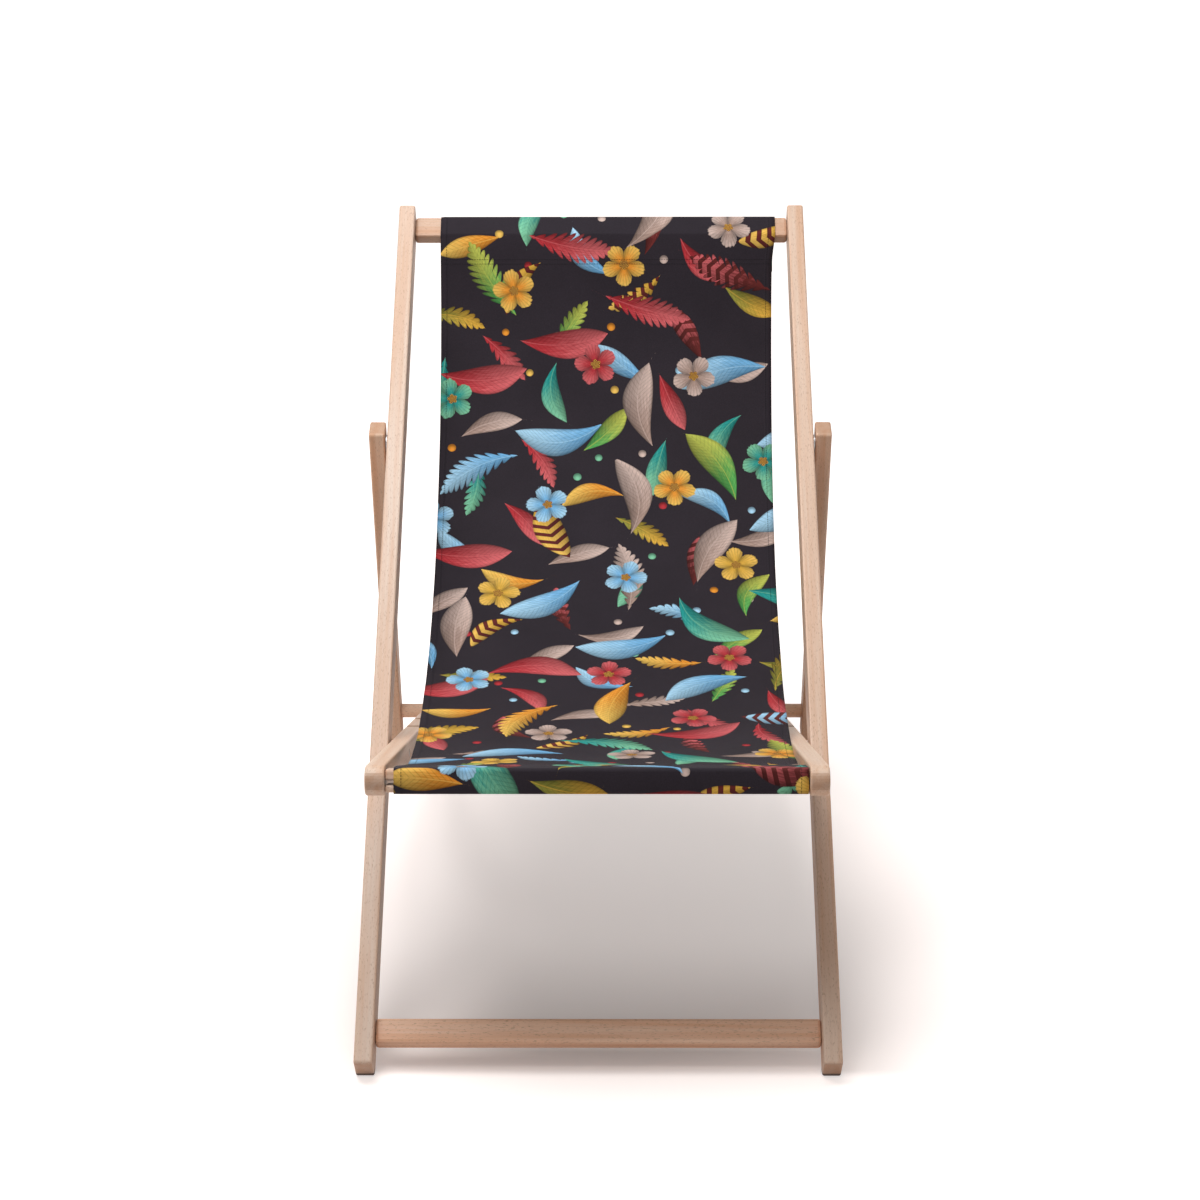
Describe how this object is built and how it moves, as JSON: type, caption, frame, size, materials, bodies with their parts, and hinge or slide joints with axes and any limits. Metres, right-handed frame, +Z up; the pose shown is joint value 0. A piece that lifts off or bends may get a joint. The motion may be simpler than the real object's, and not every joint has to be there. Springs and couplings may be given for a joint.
{
  "type": "folding deck chair",
  "caption": "Folding wooden deck chair: a fabric sling hangs between a long frame and a seat frame, and a swinging rear prop with a round bar drops into notches on the seat rails.",
  "frame": {"origin": "middle of the footprint on the floor, under the centre of the whole chair", "axes": "+Z up, +Y towards the back of the chair, +X towards the sitter's left"},
  "size_m": [0.6028, 1.0727, 0.7942],
  "materials": {
    "wood": "satin",
    "canvas": "matte",
    "steel": "satin"
  },
  "bodies": {
    "long_frame": {"stile_left": "wood", "stile_right": "wood", "top_bar": "wood", "bottom_bar": "wood", "main_bolt_left": "steel", "main_bolt_right": "steel", "main_nut_left": "steel", "main_nut_right": "steel", "main_washer_left": "steel", "main_washer_right": "steel", "prop_bolt_left": "steel", "prop_bolt_right": "steel", "prop_nut_left": "steel", "prop_nut_right": "steel", "prop_washer_left": "steel", "prop_washer_right": "steel", "sling": "canvas"},
    "seat_frame": {"seat_rail_left": "wood", "seat_rail_right": "wood", "front_batten_upper": "wood", "front_batten_lower": "wood", "rear_stretcher": "wood"},
    "prop_frame": {"prop_leg_left": "wood", "prop_leg_right": "wood", "prop_bar": "wood"}
  },
  "joints": [
    {"name": "seat_fold", "type": "hinge", "parent": "long_frame", "child": "seat_frame", "pos_m": [0, -0.19166, 0.26275], "axis": [1, 0, 0], "range_deg": [0, 51], "deforming": ["sling"]},
    {"name": "prop_fold", "type": "hinge", "parent": "long_frame", "child": "prop_frame", "pos_m": [0, 0.17453, 0.54361], "axis": [1, 0, 0], "range_deg": [0, 125]}
  ],
  "couplings": [
    {"joint": "prop_fold", "follows": "seat_fold", "ratio": 2.45}
  ]
}
